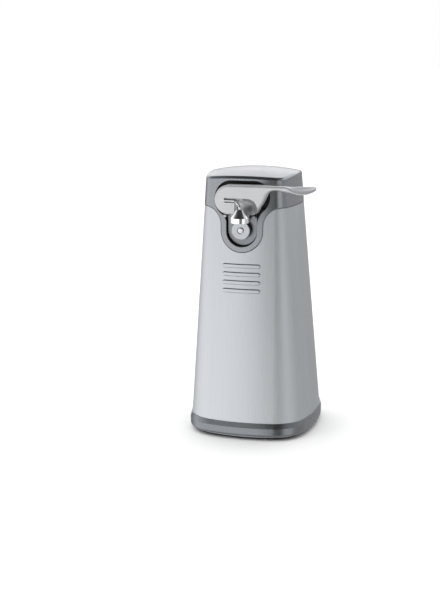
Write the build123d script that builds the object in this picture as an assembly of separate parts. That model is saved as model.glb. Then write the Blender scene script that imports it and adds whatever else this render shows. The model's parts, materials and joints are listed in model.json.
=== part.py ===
"""Countertop electric can opener: a tapered steel tower with a plastic head, base and lever.

Frame: millimetres, +Z up, the front faces -Y, and the origin is on the table under the body's centre.
Every function below makes one named piece, and NODES at the end says which file each goes to.
"""

from build123d import *
from math import acos, atan2, cos, degrees, hypot, pi, radians, sin, sqrt, tan
import os

# ---------------------------------------------------------------- driving dimensions
# The tower's plan outline at two heights; everything between is ruled.
FOOT_Z = 15.0  # where the steel meets the base ring
CREASE_Z = 226.0  # upper end of the ruled sides, where the dome begins
FOOT_PLAN = dict(half_w=54.5, half_d=56.0, front_sag=12.0, side_sag=13.0, corner_r=29.0, mid_y=0.0)
CREASE_PLAN = dict(half_w=38.1, half_d=40.9, front_sag=8.5, side_sag=7.5, corner_r=11.0, mid_y=-6.4)
TOP_Z = 230.5  # crown of the dome
DOME_R, DOME_EDGE_R = 190.0, 2.6

STEEL_T = 0.8  # steel wrapper
STEEL_LOW_Z = 12.5  # its lower edge, in the base ring's rebate
HEAD_T = 2.4  # plastic head wall
SEAM = 0.25  # visible gap between neighbouring covers
SEAM_EDGE_R = 0.6  # the head's rounded edge along that gap and round the pocket
RING_LOW_Z = 3.2  # lower edge of the base ring; the rubber foot stands below it
BEVEL_LOW_Z, RING_TOP_Z = 11.0, 15.2
BARS, BAR_HIGH_Z, BAR_PITCH = 4, 151.0, 7.05  # the raised bars on the front
BAR_HALF_LEN, BAR_R, BAR_RISE = 16.4, 1.75, 0.9
PANEL_W, PANEL_H, PANEL_CORNER_R, PANEL_Z = 56.0, 104.0, 8.0, 92.0  # the vented panel in the back
LOUVRES, LOUVRE_PITCH, LOUVRE_HALF_LEN, LOUVRE_R = 7, 6.5, 20.0, 1.4

# Front mechanism: the drive wheel, and the U-shaped apron around it
DRIVE_Z = 181.3
U_Z = 180.6  # centre of the U of the apron, the pocket and the guide plate
APRON_R = 18.2
APRON_FLARE_R = 15.0
HEAD_Z = 200.0  # head's lower edge at the sides and back
POCKET_R = 13.2  # inner U of the pocket
PIVOT_X, PIVOT_Z = -9.0, 207.0  # lever pivot
POCKET_LOBE_R = 15.2
POCKET_TOP_Z = PIVOT_Z + POCKET_LOBE_R
POCKET_RIGHT_X = 23.4
POCKET_FLOOR_Y, POCKET_FLOOR_T = -41.0, 1.3
STUD_R = 1.6
PLATE_SEAT_Y, PLATE_T, PLATE_GAP = -43.8, 1.2, 0.4

WHEEL_R, WHEEL_FRONT_Y, WHEEL_BACK_Y = 8.1, -51.2, -45.4
CUTTER_R, CUTTER_Z = 8.0, DRIVE_Z + 13.8
CUTTER_FRONT_Y, CUTTER_BACK_Y = -52.7, -51.7

LEVER_FRONT_Y, LEVER_BACK_Y, LEVER_SKIRT_Y = -58.0, -53.3, -48.7
LEVER_R = 11.8  # round end about the pivot
LEVER_TOP_Z = 219.8
STRIP_END_X = 39.0  # the plate runs on as a strip to here, inside the handle
LEVER_LOW_Z = 195.2
LEVER_WALL = 2.2
DISH_FLOOR_Y, DISH_TILT, DISH_TOP_Z = -55.2, 2.5, 209.3

ARM_R = 1.0  # chromed wire that carries the magnet
ARM_Y, ARM_Z = -56.9, 206.9
CUP_X, CUP_Y = 2.9, -63.5
CUP_R, CUP_LOW_Z, CUP_RIM_Z, CUP_TOP_Z, CUP_NECK_R = 7.8, 189.9, 193.9, 200.8, 3.2
CUP_WALL = 0.7
MAGNET_T = 3.9
BALL_R, BALL_Z = 1.7, 198.6

# Gearbox between two plates; every axis runs along Y
FRONT_PLATE_Y = (-38.0, -36.5)
REAR_PLATE_Y = (-17.0, -15.5)
PLATE_HALF_W, PLATE_LOW_Z, PLATE_HIGH_Z = 31.0, 92.0, 216.0
PRESSURE_ANGLE = radians(25.0)
OUTPUT_TEETH, SECOND_PINION_TEETH, OUTPUT_MODULE = 42, 12, 1.0
SECOND_TEETH, FIRST_PINION_TEETH, SECOND_MODULE = 45, 12, 0.8
FIRST_TEETH, MOTOR_PINION_TEETH, FIRST_MODULE = 50, 10, 0.6
OUTPUT_Y = (-35.5, -30.0)
SECOND_PINION_Y = (-35.4, -28.6)
SECOND_Y = (-28.7, -24.7)
FIRST_PINION_Y = (-29.2, -23.3)
FIRST_Y = (-23.4, -19.9)
MOTOR_PINION_Y = (-24.0, -18.5)
RUN = 0.05  # radial running clearance
SHAFT_R, AXLE_R, HUB_R, MOTOR_SHAFT_R = 4.0, 2.0, 4.0, 1.6
BUSH_R = 6.0
CLIP_Y = (-14.4, -13.4)  # the grooves for the retaining clips behind the rear plate
CLIP_DEPTH = 0.5
HUB_SEAT_R = 6.4  # the lever's boss around its hub
CRANK = 7.0  # the hub's crank, which follows the lever and works the switch

MOTOR_R, MOTOR_WALL = 19.0, 1.5
MOTOR_CAP_Y, MOTOR_END_Y = 22.0, 25.0
MOTOR_SCREW_X = 9.0
MOTOR_POLES = 7  # slots of the armature, and bars of the commutator
BEARING_R, BEARING_T = 4.0, 3.5

# Screws at the gearbox corners, the foot of the frame and the base
PILLARS = [(-26.4, 210.6), (26.4, 210.6), (-27.0, 124.0), (27.0, 124.0)]
FRAME_SCREWS = [(-25.5, 98.0), (25.5, 98.0)]
FRAME_FEET = [(-20.0, -27.0), (20.0, -27.0)]
BASE_SCREWS = [(-34.0, -32.0), (34.0, -32.0), (-34.0, 32.0), (34.0, 32.0)]
STUDS = [(-14.0, 193.0), (10.8, 192.8)]  # can guides: the left one in the housing, the right one in the plate
CLAMPS = [(-5.0, 28.0), (5.0, 28.0)]  # screws of the terminal block
INLET_Z, INLET_R = 8.0, 4.0  # the mains lead's bushed hole at the back of the base


def offset_point(x, z, distance, toward):
    """The point at that distance from (x, z), in the direction that makes it dx further along X."""
    return x + toward, z - sqrt(distance**2 - toward**2)


OUTPUT_REACH = OUTPUT_MODULE * (OUTPUT_TEETH + SECOND_PINION_TEETH) / 2
SECOND_REACH = SECOND_MODULE * (SECOND_TEETH + FIRST_PINION_TEETH) / 2
FIRST_REACH = FIRST_MODULE * (FIRST_TEETH + MOTOR_PINION_TEETH) / 2
SECOND_X, SECOND_Z = offset_point(0.0, DRIVE_Z, OUTPUT_REACH, -10.0)
FIRST_X, FIRST_Z = offset_point(SECOND_X, SECOND_Z, SECOND_REACH, 9.0)
MOTOR_X, MOTOR_Z = offset_point(FIRST_X, FIRST_Z, FIRST_REACH, 1.0)


# ---------------------------------------------------------------- shape helpers
def polar(cx, cz, r, deg):
    return cx + r * cos(radians(deg)), cz + r * sin(radians(deg))


def xz(points):
    return [Vector(x, 0, z) for x, z in points]


def arc(cx, cz, r, start, end):
    """An arc in the XZ plane, angles in degrees from +X towards +Z."""
    ends = [polar(cx, cz, r, a) for a in (start, (start + end) / 2, end)]
    return ThreePointArc(*xz(ends))


def line(a, b):
    return Line(*xz([a, b]))


def face_of(*edges):
    return Face(Wire(edges))


def slab(face, y0, y1):
    """A face in the XZ plane, drawn out from y0 to y1."""
    return Pos(0, y1, 0) * extrude(face, amount=y1 - y0, dir=(0, -1, 0))


def rod(x, z, r, y0, y1):
    """A cylinder along Y."""
    return Pos(x, (y0 + y1) / 2, z) * Rot(90, 0, 0) * Cylinder(r, abs(y1 - y0))


def tube(x, z, outer, inner, y0, y1):
    return rod(x, z, outer, y0, y1) - rod(x, z, inner, y0, y1)


def block(x0, x1, y0, y1, z0, z1):
    return Pos((x0 + x1) / 2, (y0 + y1) / 2, (z0 + z1) / 2) * Box(x1 - x0, y1 - y0, z1 - z0)


def slot_bar(cx, cz, half_len, r, y0, y1):
    """A bar with round ends, lying along X."""
    reach = half_len - r
    outline = face_of(
        line((cx - reach, cz - r), (cx + reach, cz - r)),
        arc(cx + reach, cz, r, -90, 90),
        line((cx + reach, cz + r), (cx - reach, cz + r)),
        arc(cx - reach, cz, r, 90, 270),
    )
    return slab(outline, y0, y1)


def plan_edges(half_w, half_d, front_sag, side_sag, corner_r, mid_y, z):
    """Four bulged sides joined by round corners, all tangent, at height z."""
    front_r = (half_w**2 + front_sag**2) / (2 * front_sag)
    side_r = (half_d**2 + side_sag**2) / (2 * side_sag)
    front_c = Vector(0, -half_d + front_r)
    side_c = Vector(half_w - side_r, 0)
    # the corner's centre is corner_r inside both circles
    reach_f, reach_s = front_r - corner_r, side_r - corner_r
    gap = side_c - front_c
    along = (reach_f**2 - reach_s**2 + gap.length**2) / (2 * gap.length)
    across = sqrt(reach_f**2 - along**2)
    unit = gap.normalized()
    centre = front_c + unit * along + Vector(-unit.Y, unit.X) * across
    if centre.X < 0 or centre.Y > 0:
        centre = front_c + unit * along - Vector(-unit.Y, unit.X) * across
    to_f = (centre - front_c).normalized()
    to_s = (centre - side_c).normalized()
    near_f, near_s = centre + to_f * corner_r, centre + to_s * corner_r
    bulge = centre + (to_f + to_s).normalized() * corner_r

    def at(point, sx, sy):
        return Vector(point.X * sx, point.Y * sy + mid_y, z)

    front, side = Vector(0, -half_d), Vector(half_w, 0)
    return [
        ThreePointArc(at(near_f, -1, 1), at(front, 1, 1), at(near_f, 1, 1)),
        ThreePointArc(at(near_f, 1, 1), at(bulge, 1, 1), at(near_s, 1, 1)),
        ThreePointArc(at(near_s, 1, 1), at(side, 1, 1), at(near_s, 1, -1)),
        ThreePointArc(at(near_s, 1, -1), at(bulge, 1, -1), at(near_f, 1, -1)),
        ThreePointArc(at(near_f, 1, -1), at(front, 1, -1), at(near_f, -1, -1)),
        ThreePointArc(at(near_f, -1, -1), at(bulge, -1, -1), at(near_s, -1, -1)),
        ThreePointArc(at(near_s, -1, -1), at(side, -1, 1), at(near_s, -1, 1)),
        ThreePointArc(at(near_s, -1, 1), at(bulge, -1, 1), at(near_f, -1, 1)),
    ]


def plan(z, grow=0.0, at_z=None):
    """The tower's outline face for height at_z, drawn at height z and grown outward."""
    share = ((z if at_z is None else at_z) - FOOT_Z) / (CREASE_Z - FOOT_Z)
    size = {k: FOOT_PLAN[k] + (CREASE_PLAN[k] - FOOT_PLAN[k]) * share for k in FOOT_PLAN}
    size["half_w"] += grow
    size["half_d"] += grow
    size["corner_r"] += grow
    return Face(Wire(plan_edges(z=z, **size)))


def tower(grow, z0, z1):
    """The solid tower between two heights, its walls moved outward by grow."""
    return loft([plan(z0, grow), plan(z1, grow)], ruled=True)


def band(z0, z1, grow_0, grow_1, at_z=FOOT_Z):
    """A solid between two copies of the outline for at_z, for the base's rings and plates."""
    return loft([plan(z0, grow_0, at_z), plan(z1, grow_1, at_z)], ruled=True)


def gear(x, z, teeth, module, y0, y1, phase, thin=0.12):
    """A spur gear with involute flanks drawn as short chords."""
    pitch_r = module * teeth / 2
    base_r = pitch_r * cos(PRESSURE_ANGLE)
    tip_r, root_r = pitch_r + 0.8 * module, pitch_r - 1.05 * module
    half_pitch_angle = (pi * module / 2 - thin) / (2 * pitch_r)

    def involute(r):
        angle = acos(min(1.0, base_r / r))
        return tan(angle) - angle

    foot_r = max(base_r, root_r)
    radii = [foot_r + (tip_r - foot_r) * k / 4 for k in range(5)]
    half = [half_pitch_angle + involute(pitch_r) - involute(r) for r in radii]
    points = []
    for k in range(teeth):
        middle = radians(phase) + 2 * pi * k / teeth
        side = [(root_r, -half[0])] + [(r, -h) for r, h in zip(radii, half)]
        side += [(r, -h) for r, h in reversed(side)]
        points += [(x + r * cos(middle + h), z + r * sin(middle + h)) for r, h in side]
    return slab(Face(Wire.make_polygon(xz(points))), y0, y1)


def mesh_phase(from_x, from_z, to_x, to_z, to_teeth, from_teeth, from_phase):
    """The turn, in degrees, that puts a gear's gap against the tooth that faces it."""
    angle = degrees(atan2(to_z - from_z, to_x - from_x))
    pitch = 360.0 / from_teeth
    lead = (angle - from_phase) % pitch  # how far past a tooth the line of centres is
    return angle + 180.0 + lead * from_teeth / to_teeth - 180.0 / to_teeth


def screw(x, z, r, head_r, head_y, tip_y, head_t=1.6):
    """A cross-recessed pan-head screw along Y; its head's underside is at head_y."""
    sign = 1 if tip_y > head_y else -1
    shank = rod(x, z, r, head_y, tip_y)
    top = head_y - sign * head_t
    head = rod(x, z, head_r, top, head_y)
    cuts = [block(x - a, x + a, min(top, top + sign * 0.7), max(top, top + sign * 0.7), z - b, z + b)
            for a, b in ((head_r * 0.6, 0.35), (0.35, head_r * 0.6))]
    return shank + head - cuts[0] - cuts[1]


# ---------------------------------------------------------------- covers
HEAD_PROUD = 0.15  # the head stands this far out of the steel
HEAD_SIDES = tower(HEAD_PROUD, 160.0, TOP_Z).faces()


def head_region(gap=0.0):
    """Everything above the line where head and steel meet, with its U-shaped apron in front."""
    r, flare, z = APRON_R + gap, APRON_FLARE_R - gap, HEAD_Z - gap
    far, high = 80.0, 260.0
    turn_z = z - flare
    front = face_of(
        line((-far, z), (-r - flare, z)),
        arc(-r - flare, turn_z, flare, 90, 0),
        line((-r, turn_z), (-r, U_Z)),
        arc(0, U_Z, r, 180, 360),
        line((r, U_Z), (r, turn_z)),
        arc(r + flare, turn_z, flare, 180, 90),
        line((r + flare, z), (far, z)),
        line((far, z), (far, high)),
        line((far, high), (-far, high)),
        line((-far, high), (-far, z)),
    )
    return slab(front, -far, 0) + block(-far, far, 0, far, z, high)


def pocket_outline(grow=0.0):
    """The recess behind the lever and around the drive wheel."""
    r, lobe = POCKET_R + grow, POCKET_LOBE_R + grow
    top, right = POCKET_TOP_Z + grow, POCKET_RIGHT_X + grow
    # left side: a concave arc between the U and the round lobe
    left_r = 8.0 - grow
    left_x = -r - left_r
    left_z = PIVOT_Z - sqrt((lobe + left_r) ** 2 - (PIVOT_X - left_x) ** 2)
    left_turn = degrees(atan2(PIVOT_Z - left_z, PIVOT_X - left_x))
    # right side: an S of two equal arcs
    low_z, high_z = 186.5, 209.2
    corner = POCKET_TOP_Z - high_z + grow
    shift = POCKET_RIGHT_X - POCKET_R
    s_r = (shift**2 + (high_z - low_z) ** 2) / (4 * shift)
    s_turn = degrees(atan2((high_z - low_z) / 2, s_r - shift / 2))
    return face_of(
        arc(0, U_Z, r, 180, 360),
        line((r, U_Z), (r, low_z)),
        arc(POCKET_R + s_r, low_z, s_r - grow, 180, 180 - s_turn),
        arc(POCKET_RIGHT_X - s_r, high_z, s_r + grow, -s_turn, 0),
        arc(right - corner, high_z, corner, 0, 90),
        line((right - corner, top), (PIVOT_X, top)),
        arc(PIVOT_X, PIVOT_Z, lobe, 90, 180 + left_turn),
        arc(left_x, left_z, left_r, left_turn, 0),
        line((-r, left_z), (-r, U_Z)),
    )


def rear_panel_region(inset=0.0):
    return RectangleRounded(PANEL_W - 2 * inset, PANEL_H - 2 * inset, PANEL_CORNER_R - inset)


def rear_panel_slab(inset=0.0):
    face = Plane.XZ * Pos(0, PANEL_Z, 0) * rear_panel_region(inset)
    return extrude(face, amount=-80)


def body_shell():
    """The brushed steel wrapper, with four raised bars on its front."""
    shell = tower(0, STEEL_LOW_Z, HEAD_Z + 2) - tower(-STEEL_T, STEEL_LOW_Z - 1, HEAD_Z + 3)
    shell -= head_region(SEAM)
    shell -= rear_panel_slab()
    raised = tower(BAR_RISE, 120.0, 160.0) - tower(-STEEL_T / 2, 119.0, 161.0)
    for k in range(BARS):
        bar = raised & slot_bar(0, BAR_HIGH_Z - BAR_PITCH * k, BAR_HALF_LEN, BAR_R, -60, -30)
        face = bar.faces().sort_by(Axis.Y)[0]
        shell += fillet(face.outer_wire().edges(), BAR_RISE * 0.75)
    return shell


def on_outside(edge):
    """Whether an edge of the head lies on the tower's outer surface."""
    return min(face.distance_to(edge @ 0.5) for face in HEAD_SIDES) < 0.02


def head_housing():
    """The plastic head: a domed shell with the lever's pocket, and a lip that plugs into the steel."""
    sides = tower(HEAD_PROUD, 160.0, TOP_Z)
    dome = Pos(0, CREASE_PLAN["mid_y"], TOP_Z - DOME_R) * Sphere(DOME_R)
    outer = sides & dome
    crease = [e for e in outer.edges() if e.center().Z > HEAD_Z + 10 and abs((e % 0.5).Z) < 0.5]
    outer = fillet(crease, DOME_EDGE_R)
    ceiling = Pos(0, CREASE_PLAN["mid_y"], TOP_Z - DOME_R) * Sphere(DOME_R - HEAD_T)
    shell = outer - (tower(-HEAD_T, 159.0, TOP_Z) & ceiling)
    walls = slab(pocket_outline(2.0), -60, POCKET_FLOOR_Y + POCKET_FLOOR_T) & outer
    shell = (shell + walls) & head_region()
    lip_zone = block(-60, 60, -60, 60, HEAD_Z - 8, HEAD_Z) - slab(pocket_outline(4.0), -60, -20)
    lip_zone -= block(-34, 34, -60, -20, 150, HEAD_Z + 1)
    lip = (tower(-STEEL_T - 0.1, 180.0, 210.0) - tower(-HEAD_T - 0.4, 179.0, 211.0)) & lip_zone
    shell += lip
    shell -= slab(pocket_outline(), -60, PLATE_SEAT_Y)
    upper = block(-60, 60, -60, POCKET_FLOOR_Y, 198.5, 230)
    shell -= slab(pocket_outline(), -60, POCKET_FLOOR_Y) & upper
    shell -= rod(PIVOT_X, PIVOT_Z, HUB_SEAT_R + 1.4, -50, -30)
    shell -= rod(0, DRIVE_Z, 6.0, -50, -30)
    pocket_zone = slab(pocket_outline(0.15), -70, -30)
    for in_pocket in (True, False):
        seam = [e for e in shell.edges() if (e @ 0.5).Z < CREASE_Z - 4 and on_outside(e)
                and pocket_zone.is_inside(e @ 0.5) == in_pocket]
        shell = fillet(seam, SEAM_EDGE_R)
    return shell - rod(*STUDS[0], STUD_R, -60, PLATE_SEAT_Y)


def rear_cover():
    """A plastic panel let into the steel at the back, with louvres and a rib behind its edge."""
    panel = tower(0.3, 30.0, 160.0) - tower(-2.2, 29.0, 161.0)
    panel &= rear_panel_slab(SEAM)
    for k in range(LOUVRES):
        panel -= slot_bar(0, PANEL_Z + LOUVRE_PITCH * k, LOUVRE_HALF_LEN, LOUVRE_R, 20, 80)
    flange = tower(-STEEL_T - 0.1, 30.0, 160.0) - tower(-2.2, 29.0, 161.0)
    flange &= rear_panel_slab(-3.0)
    flange -= rear_panel_slab(3.0)
    return panel + flange


def base_ring():
    """The plastic plinth: a bevelled, rounded skirt whose lip holds the steel's lower edge."""
    outside = band(RING_LOW_Z, BEVEL_LOW_Z, 1.5, 1.6) + band(BEVEL_LOW_Z, RING_TOP_Z, 1.6, 0.6)
    foot = [e for e in outside.edges() if e.center().Z < RING_LOW_Z + 0.1]
    outside = fillet(foot, 2.8)
    bevel = [e for e in outside.edges() if abs(e.center().Z - BEVEL_LOW_Z) < 0.1 and abs((e % 0.5).Z) < 0.5]
    outside = fillet(bevel, 1.2)
    inside = band(0.0, 13.0, -2.6, -2.6)
    ring = outside - inside - tower(0.1, STEEL_LOW_Z - 0.1, 16.0)
    for x, y in BASE_SCREWS:
        boss = Pos(x, y, 8.4) * Cylinder(3.6, 7.2)
        web = Pos(x * 1.18, y * 1.18, 8.4) * Box(7, 7, 7.2)
        boss = (boss + web) & band(4.8, 12.0, -0.5, -0.5)
        ring += boss - Pos(x, y, 8) * Cylinder(1.45, 12)
    return ring - rod(0, INLET_Z, INLET_R, 40, 70)


def bottom_cover():
    """The closing plate, with air slots, a foot groove and four screw holes."""
    plate = band(2.0, 4.5, -2.8, -2.8)
    plate -= foot_band(1.5, 3.0, 0.05)
    for k in range(-3, 4):
        plate -= Pos(9.0 * k, 0, 3) * Box(3, 34, 4)
    for x, y in BASE_SCREWS:
        plate -= Pos(x, y, 3) * Cylinder(1.7, 6)
        plate -= Pos(x, y, 2) * Cylinder(3.2, 3.0)
    for x, y in FRAME_FEET:
        plate -= Pos(x, y, 3) * Cylinder(1.7, 6)
    return plate


def foot_band(z0, z1, grow=0.0):
    return band(z0, z1, -5.0 + grow, -5.0 + grow) - band(z0 - 1, z1 + 1, -9.0 - grow, -9.0 - grow)


def foot_ring():
    """A non-slip rubber ring in a groove of the bottom cover."""
    return foot_band(0.0, 2.9)


def base_screws():
    made = []
    for x, y in BASE_SCREWS:
        head = Pos(x, y, 2.8) * Cylinder(2.8, 1.3)
        shank = Pos(x, y, 6.9) * Cylinder(1.4, 7.0)
        made.append(head + shank - Pos(x, y, 2.3) * Box(3.2, 0.7, 0.8) - Pos(x, y, 2.3) * Box(0.7, 3.2, 0.8))
    return made


def cord_inlet():
    """The bushed hole at the back of the base that the mains lead enters by."""
    barrel = rod(0, INLET_Z, INLET_R, 54.6, 58.5)
    flange = rod(0, INLET_Z, 6.2, 57.8, 60.0)
    flange = fillet(flange.edges().filter_by(GeomType.CIRCLE).sort_by(Axis.Y)[-1], 0.8)
    return barrel + flange - rod(0, INLET_Z, INLET_R - 1.0, 50, 62)


# ---------------------------------------------------------------- front mechanism
def guide_plate():
    """The bright plate behind the drive wheel, seated in the U of the pocket."""
    half, top = POCKET_R - PLATE_GAP, 197.5
    outline = face_of(
        arc(0, U_Z, half, 180, 360),
        line((half, U_Z), (half, top - 2)),
        arc(half - 2, top - 2, 2, 0, 90),
        line((half - 2, top), (-half + 2, top)),
        arc(-half + 2, top - 2, 2, 90, 180),
        line((-half, top - 2), (-half, U_Z)),
    )
    plate = slab(outline, PLATE_SEAT_Y - PLATE_T, PLATE_SEAT_Y)
    plate = chamfer(plate.faces().sort_by(Axis.Y)[0].outer_wire().edges(), 0.35)
    plate -= rod(0, DRIVE_Z, SHAFT_R + 0.6, -50, -40) + rod(*STUDS[1], 1.0, -50, -40)
    return plate - rod(*STUDS[0], STUD_R + 0.1, -50, -40)


def can_guide_studs():
    """Two round-nosed studs that the can's rim rests against."""
    made = []
    for (x, z), seat in zip(STUDS, (PLATE_SEAT_Y, PLATE_SEAT_Y - PLATE_T)):
        stud = rod(x, z, STUD_R, -50.4, seat)
        stud = fillet(stud.edges().filter_by(GeomType.CIRCLE).sort_by(Axis.Y)[0], 0.9)
        made.append(stud + rod(x, z, 1.0, seat - 0.1, PLATE_SEAT_Y))
    return made


def drive_wheel():
    """The serrated feed wheel, with a smooth front flange and a ring around its shaft."""
    teeth, tip, root = 28, WHEEL_R, WHEEL_R - 0.9
    points = []
    for k in range(teeth):
        pitch = 360.0 / teeth
        for share, r in ((-0.36, root), (-0.12, tip), (0.12, tip), (0.36, root)):
            points.append(polar(0, DRIVE_Z, r, pitch * (k + share)))
    knurl = slab(Face(Wire.make_polygon(xz(points))), WHEEL_FRONT_Y + 1.2, WHEEL_FRONT_Y + 4.0)
    flange = rod(0, DRIVE_Z, WHEEL_R - 0.2, WHEEL_FRONT_Y, WHEEL_FRONT_Y + 1.2)
    flange = fillet(flange.edges().filter_by(GeomType.CIRCLE).sort_by(Axis.Y)[0], 0.5)
    hub = rod(0, DRIVE_Z, 6.6, WHEEL_FRONT_Y + 4.0, WHEEL_BACK_Y)
    wheel = flange + knurl + hub
    wheel -= rod(0, DRIVE_Z, 3.2, WHEEL_FRONT_Y - 1, WHEEL_FRONT_Y + 0.9)
    return wheel - rod(0, DRIVE_Z, 2.5, -60, -40)


def drive_shaft():
    """Stepped shaft: a domed end in the drive wheel, and journals in both plates."""
    nose = rod(0, DRIVE_Z, 2.5, WHEEL_FRONT_Y - 0.5, WHEEL_BACK_Y)
    nose = fillet(nose.edges().filter_by(GeomType.CIRCLE).sort_by(Axis.Y)[0], 1.0)
    body = rod(0, DRIVE_Z, SHAFT_R, WHEEL_BACK_Y, -12.6)
    groove = tube(0, DRIVE_Z, SHAFT_R + 1, SHAFT_R - CLIP_DEPTH, *CLIP_Y)
    return nose + body - groove


def ring_clip(x, z, inner, outer, y0, y1):
    """A retaining ring with an open side."""
    ring = tube(x, z, outer, inner, y0, y1)
    return ring - block(x - 1.6, x + 1.6, y0 - 1, y1 + 1, z, z + outer + 1)


def cutting_wheel():
    """The bevelled disc that shears the lid."""
    disc = rod(0, CUTTER_Z, CUTTER_R, CUTTER_FRONT_Y, CUTTER_BACK_Y)
    rim = disc.edges().filter_by(GeomType.CIRCLE).sort_by(Axis.Y)[0]
    disc = chamfer(rim, 0.75, 2.4)
    return disc - rod(0, CUTTER_Z, AXLE_R + RUN, -60, -45)


def cutter_axle():
    """A shouldered rivet through the lever, with its head behind the wheel."""
    pin = rod(0, CUTTER_Z, AXLE_R, DISH_FLOOR_Y + 0.05, -51.6)
    head = rod(0, CUTTER_Z, 3.3, -51.6, -50.7)
    head = fillet(head.edges().filter_by(GeomType.CIRCLE).sort_by(Axis.Y)[-1], 0.4)
    return pin + head


def cutter_washer():
    return tube(0, CUTTER_Z, 3.4, AXLE_R, LEVER_BACK_Y, CUTTER_FRONT_Y - 0.05)


def lever_outline():
    """The lever's plate: a round end about the pivot, and a neck that runs on as the handle's strip."""
    low, top, corner, right = LEVER_LOW_Z, LEVER_TOP_Z, 6.5, 17.0
    turn = polar(right - corner, low + corner, corner, -25)
    end = (STRIP_END_X, 215.5)
    return face_of(
        line((PIVOT_X, low), (right - corner, low)),
        arc(right - corner, low + corner, corner, -90, -25),
        Spline(
            *xz([turn, (21.2, 207.0), (25.4, 214.4), (32.0, 216.4), end]),
            tangents=[Vector(0.42, 0, 0.9), Vector(0.98, 0, -0.2)],
        ),
        line(end, (STRIP_END_X, top)),
        line((STRIP_END_X, top), (PIVOT_X, top)),
        ThreePointArc(*xz([(PIVOT_X, top), (PIVOT_X - LEVER_R, PIVOT_Z + 0.5), (PIVOT_X, low)])),
    )


def lever_hollow():
    """The inside of the lever's skirt, one wall in from its outline, which closes at the neck."""
    low, top, corner = LEVER_LOW_Z + LEVER_WALL, LEVER_TOP_Z - LEVER_WALL, 4.3
    r = LEVER_R - LEVER_WALL
    right = 14.6
    return face_of(
        line((PIVOT_X, low), (right - corner, low)),
        arc(right - corner, low + corner, corner, -90, 0),
        Spline(
            *xz([(right, low + corner), (18.4, 208.0), (24.0, top - 1.5)]),
            tangents=[Vector(0.2, 0, 1), Vector(1, 0, 0.9)],
        ),
        line((24.0, top - 1.5), (24.0, top)),
        line((24.0, top), (PIVOT_X, top)),
        ThreePointArc(*xz([(PIVOT_X, top), (PIVOT_X - r, PIVOT_Z + 0.5), (PIVOT_X, low)])),
    )


def dish():
    """The scoop in the lever's face behind the magnet: it deepens towards its open lower end."""
    x0, x1, top, depth = -3.5, 16.4, DISH_TOP_Z, 16.0
    scoop = block(x0, x1, -depth, 0, top - 40, top)
    left, right = scoop.edges().filter_by(Axis.Y).sort_by(Axis.Z)[-2:].sort_by(Axis.X)
    scoop = fillet(left, 4.0)
    right = scoop.edges().filter_by(Axis.Y).sort_by(Axis.Z)[-3:].sort_by(Axis.X)[-1]
    scoop = fillet(right, 9.0)
    floor = scoop.faces().sort_by(Axis.Y)[-1]
    scoop = fillet([e for e in floor.outer_wire().edges() if e.center().Z > top - 30], 3.9)
    tilt = Pos(0, 0, top) * Rot(DISH_TILT, 0, 0) * Pos(0, 0, -top)
    return Pos(0, DISH_FLOOR_Y - 0.3, 0) * tilt * scoop


def arm_channel():
    """The round-cornered slot in the lever's face that the wire comes out of."""
    channel = block(-12.4, 3.0, -62, DISH_FLOOR_Y, ARM_Z - 1.7, DISH_TOP_Z)
    return fillet(channel.edges().filter_by(Axis.Y), 1.1)


def handle():
    """A strip that turns into a thumb pad, which slopes forward and down and has a round end."""
    sections = [
        # x, middle y, middle z, length across, thickness, tilt forward
        (34.0, -55.65, 218.05, 4.6, 3.3, 0.0),
        (39.0, -55.6, 217.65, 5.0, 4.5, 2.0),
        (44.0, -55.3, 217.1, 7.2, 3.6, 19.0),
        (49.0, -54.9, 216.7, 10.2, 2.8, 28.0),
        (55.0, -54.8, 216.8, 11.6, 2.6, 28.0),
        (60.0, -54.8, 217.4, 10.6, 2.4, 26.0),
        (63.2, -54.8, 218.1, 8.0, 2.1, 23.0),
        (64.8, -54.8, 218.5, 4.6, 1.6, 21.0),
    ]
    faces = []
    for x, y, z, across, thick, tilt in sections:
        lean = radians(tilt)
        points = []
        for k in range(8):
            c, s = cos(pi * k / 4), sin(pi * k / 4)
            # a rounded rectangle: the diagonal points lie further out than an ellipse's
            square = 1.12 if k % 2 else 1.0
            u, v = across / 2 * c * square, thick / 2 * s * square
            points.append(Vector(x, y + u * cos(lean) - v * sin(lean), z + u * sin(lean) + v * cos(lean)))
        faces.append(Face(Wire([Spline(*points, periodic=True)])))
    return loft(faces)


def lever():
    """The lever: a hollow-backed plate, a scooped front, a boss for its hub, and the handle."""
    plate = slab(lever_outline(), LEVER_FRONT_Y, LEVER_BACK_Y)
    front = plate.faces().sort_by(Axis.Y)[0]
    edges = [e for e in front.outer_wire().edges() if e.center().X < STRIP_END_X - 0.1]
    plate = fillet(edges, 1.55)
    skirt = slab(lever_outline(), LEVER_BACK_Y - 1, LEVER_SKIRT_Y) - slab(lever_hollow(), -60, -40)
    skirt -= block(-14.0, 13.5, -60, -40, 180, 200)
    skirt -= Pos(33, LEVER_SKIRT_Y, LEVER_TOP_Z) * Rot(0, 0, -50) * Box(22, 14, 60)
    body = plate + skirt
    tongue = rod(0, CUTTER_Z, 4.4, DISH_FLOOR_Y, LEVER_BACK_Y)
    body = body - dish() - arm_channel() + tongue
    body += rod(PIVOT_X, PIVOT_Z, HUB_SEAT_R, LEVER_BACK_Y - 1, -43.6)
    body += handle()
    body -= lever_key(0.05)
    body -= rod(0, CUTTER_Z, AXLE_R, -60, -40)
    bore = Pos(-15.0, ARM_Y, ARM_Z) * Rot(0, 90, 0) * Cylinder(ARM_R + RUN, 6.2)
    return body - bore


def lever_key(grow=0.0):
    """The two-sided spigot on the hub that the lever pushes onto."""
    spigot = rod(PIVOT_X, PIVOT_Z, 3.6 + grow, -52.0 - grow * 4, -42.0)
    flats = block(PIVOT_X - 9, PIVOT_X + 9, -60, -40, PIVOT_Z - 2.6 - grow, PIVOT_Z + 2.6 + grow)
    return spigot & flats


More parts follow.
